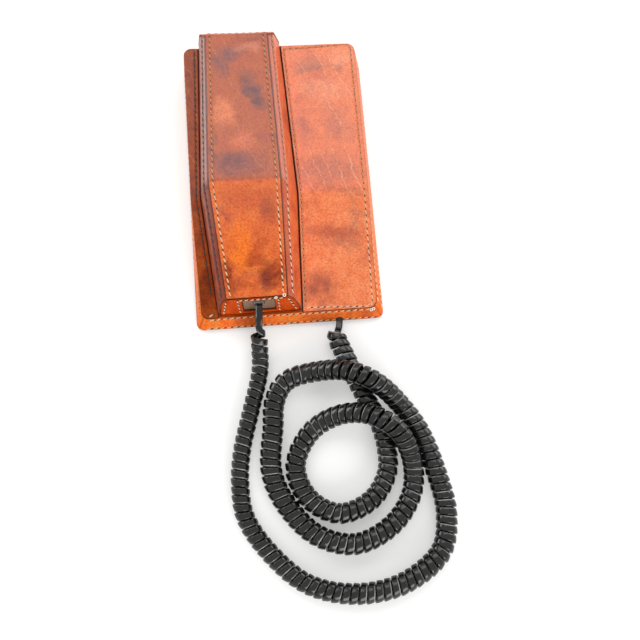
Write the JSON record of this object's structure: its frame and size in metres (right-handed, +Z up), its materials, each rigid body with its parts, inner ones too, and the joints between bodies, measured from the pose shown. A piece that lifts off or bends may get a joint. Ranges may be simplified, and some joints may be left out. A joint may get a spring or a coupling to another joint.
{
  "type": "telephone",
  "caption": "Leather-covered slim desk telephone: sloping base with a trough, handset with the dial on its inner face, curly flat cord coiled in front.",
  "frame": {"origin": "on the table under the middle of the base, the cord left out", "axes": "+Y to the rear of the base along its length, +Z up, +X to the right seen from the front"},
  "size_m": [0.1644, 0.3918, 0.053],
  "materials": {
    "leather": "satin",
    "dark_plastic": "matt",
    "ivory_plastic": "gloss",
    "clear_plastic": "clear",
    "rubber": "matt",
    "cord": "satin",
    "grey_plate": "satin",
    "steel": "satin",
    "brass": "satin",
    "copper": "satin",
    "circuit_board": "matt",
    "capsule": "satin"
  },
  "bodies": {
    "base": {"base_cord_jack": "dark_plastic", "base_cord_plug": "clear_plastic", "base_plate": "steel", "base_shell": "dark_plastic", "capacitor": "ivory_plastic", "coiled_cord": "cord", "deck_leather": "leather", "foot_front_left": "rubber", "foot_front_right": "rubber", "foot_rear_left": "rubber", "foot_rear_right": "rubber", "front_leather": "leather", "gong_front": "brass", "gong_rear": "brass", "gong_screw_front": "steel", "gong_screw_rear": "steel", "hook_switch": "dark_plastic", "left_leather": "leather", "left_strip_leather": "leather", "line_jack": "dark_plastic", "network_board": "circuit_board", "plate_screw_front_left": "steel", "plate_screw_front_right": "steel", "plate_screw_rear_left": "steel", "plate_screw_rear_right": "steel", "rear_leather": "leather", "right_leather": "leather", "ringer_coil": "copper", "ringer_frame": "steel", "transformer": "capsule"},
    "handset": {"cord_plate": "grey_plate", "cover_screw_front": "steel", "cover_screw_rear": "steel", "dial_movement": "brass", "finger_stop": "steel", "handset_cord_plug": "clear_plastic", "handset_end_leather": "leather", "handset_jack": "dark_plastic", "handset_left_leather": "leather", "handset_rear_leather": "leather", "handset_right_leather": "leather", "handset_shell": "dark_plastic", "handset_top_leather": "leather", "inner_cover": "dark_plastic", "number_ring": "ivory_plastic", "receiver_capsule": "capsule", "transmitter_capsule": "capsule"},
    "dial": {"finger_wheel": "clear_plastic", "dial_spindle": "steel", "dial_cap": "ivory_plastic"},
    "button": {"recall_button": "ivory_plastic"},
    "hook": {"hook_plunger": "ivory_plastic"},
    "striker": {"clapper": "steel"}
  },
  "joints": [
    {"name": "handset_lift", "type": "slide", "parent": "base", "child": "handset", "axis": [0, 0.4067, 0.9135], "range_m": [0, 0.08]},
    {"name": "dial_turn", "type": "hinge", "parent": "handset", "child": "dial", "pos_m": [-0.02102, -0.008, 0.0187], "axis": [0, 0, 1], "range_deg": [0, 318], "stiffness_Nm_per_rad": 0.0006},
    {"name": "button_press", "type": "slide", "parent": "handset", "child": "button", "axis": [0, 0, 1], "range_m": [0, 0.0015], "stiffness_N_per_m": 150},
    {"name": "hook_rise", "type": "slide", "parent": "base", "child": "hook", "axis": [0, 0, 1], "range_m": [0, 0.004]},
    {"name": "striker_swing", "type": "hinge", "parent": "base", "child": "striker", "pos_m": [0.019, 0.046, 0.0093], "axis": [0, 0, 1], "range_deg": [-5, 5]}
  ],
  "couplings": [
    {"joint": "hook_rise", "follows": "handset_lift", "ratio": 0.05}
  ]
}
